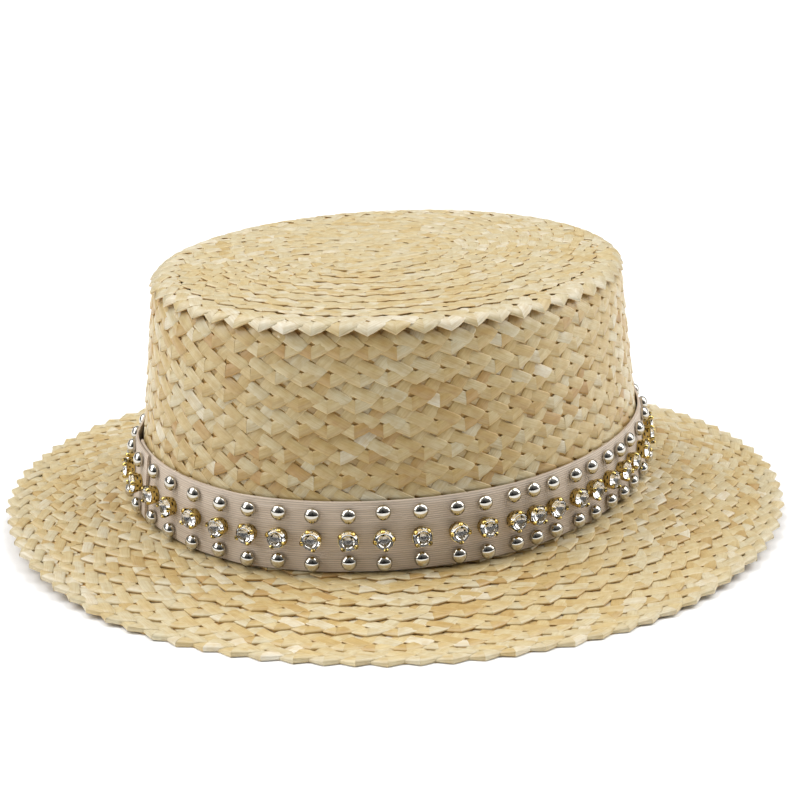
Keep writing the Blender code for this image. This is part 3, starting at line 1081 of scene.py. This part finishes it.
def stoneSolid():
    # above the girdle the table, eight stars, eight kites and sixteen halves, and below it
    # eight kites, eight halves and eight facets that meet at the point
    c = crystal
    starOut = (c["table"] + c["girdle"]) / 2 * c["starOut"]
    starHeight = (c["tableHeight"] + c["girdleHigh"]) / 2 + c["starUp"]
    points = ring(c["table"], c["tableHeight"], 8)
    points += ring(starOut, starHeight, 8, pi / 8)
    points += ring(c["girdle"], c["girdleHigh"], 16)
    points += ring(c["girdle"], c["girdleLow"], 16)
    points += ring(c["girdle"] * c["waistShare"], c["waist"], 8)
    points += [(0, 0, c["point"]), (0, 0, c["tableHeight"])]
    table, star, high, under, waist, tip, hub = 0, 8, 16, 32, 48, 56, 57
    quads, triangles = [], []
    for k in range(8):
        before, after = (k - 1) % 8, (k + 1) % 8
        triangles.append((hub, table + k, table + after))
        triangles.append((table + k, star + k, table + after))
        quads.append((table + k, star + before, high + 2 * k, star + k))
        triangles.append((star + k, high + 2 * k, high + 2 * k + 1))
        triangles.append((star + k, high + 2 * k + 1, high + (2 * k + 2) % 16))
        triangles.append((tip, waist + after, waist + k))
        triangles.append((waist + k, waist + after, under + 2 * k + 1))
        quads.append((waist + k, under + 2 * k + 1, under + 2 * k, under + (2 * k - 1) % 16))
    for k in range(16):
        after = (k + 1) % 16
        quads.append((high + k, under + k, under + after, high + after))
    return np.array(points) * mm, np.array(quads), np.array(triangles)


def turnCup(points, quads):
    # a cup turned from sheet: an outer and an inner wall, joined wherever either one ends
    c = crystal
    columns, levels = c["cupSides"], c["cupLevels"]
    layer = columns * len(levels)
    for inner in (0, 1):
        for z in levels:
            r = c["cupFoot"] + (c["cupLip"] - c["cupFoot"]) * (z / levels[-1]) - inner * c["cupWall"]
            points += ring(r, z, columns)

    def spot(level, column):
        return level * columns + column % columns

    def isOpen(level, column):
        if not 0 <= level < len(levels) - 1:
            return True
        return level in c["pierced"] and (column % columns + level) % 4 in (1, 2)

    for level in range(len(levels) - 1):
        for column in range(columns):
            if isOpen(level, column):
                continue
            corners = (
                spot(level, column), spot(level, column + 1),
                spot(level + 1, column + 1), spot(level + 1, column),
            )
            beside = ((level - 1, column), (level, column + 1), (level + 1, column), (level, column - 1))
            quads.append(corners)
            quads.append(tuple(corner + layer for corner in corners[::-1]))
            for j in range(4):
                if isOpen(*beside[j]):
                    first, second = corners[j], corners[(j + 1) % 4]
                    quads.append((second, first, first + layer, second + layer))


def bendClaws(points, quads):
    # four bent claws of oval section, closed at both ends
    c = crystal
    path, sides = c["clawPath"], c["clawSides"]
    for k in range(4):
        turn = k * pi / 2
        first = len(points)
        for i, (r, z) in enumerate(path):
            r0, z0 = path[max(i - 1, 0)]
            r1, z1 = path[min(i + 1, len(path) - 1)]
            run = hypot(r1 - r0, z1 - z0)
            outR, outZ = (z1 - z0) / run, -(r1 - r0) / run
            width = c["clawWidth"] * c["clawSwell"][i]
            for j in range(sides):
                a = j / sides * 2 * pi
                side, out = cos(a) * width, sin(a) * width * c["clawDepth"]
                rr, zz = r + outR * out, z + outZ * out
                points.append((rr * cos(turn) - side * sin(turn), rr * sin(turn) + side * cos(turn), zz))
        for i in range(len(path) - 1):
            for j in range(sides):
                a, b = first + i * sides + j, first + i * sides + (j + 1) % sides
                quads.append((a, a + sides, b + sides, b))
        last = first + (len(path) - 1) * sides
        for j in range(1, sides - 2, 2):
            quads.append((first, first + j, first + j + 1, first + j + 2))
            quads.append((last + j + 2, last + j + 1, last + j, last))


def settingSolid():
    points, quads = [], []
    turnCup(points, quads)
    bendClaws(points, quads)
    return np.array(points) * mm, np.array(quads), np.zeros((0, 3), int)


def setCrystals():
    kinds = (
        ("stone", stoneSolid(), "crystal", "crystal_glass", False),
        ("cup", settingSolid(), "gold", "setting_gold", True),
        ("foil", turnedSolid(crystal["foil"], crystal["foilSides"]), "foil", "stud_silver", False),
    )
    names = sorted(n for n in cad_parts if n.startswith("crystal_"))
    height = ribbon["width"] / 2 - crystal["drop"]
    places = [
        standing(angle, height, crystal["clearance"]) @ Matrix.Rotation(k * crystal["twist"], 4, "Z")
        for k, angle in enumerate(stoneAngles)
    ]
    for kind, (points, quads, triangles), finish, slot, smooth in kinds:
        mesh = newMesh(kind, points * crystal["size"], quads, finish, (), triangles, smooth)
        for name, place in zip(names, places):
            addPiece(f"{name}_{kind}", mesh, name, place)


setCrystals()
print("crystals are set")
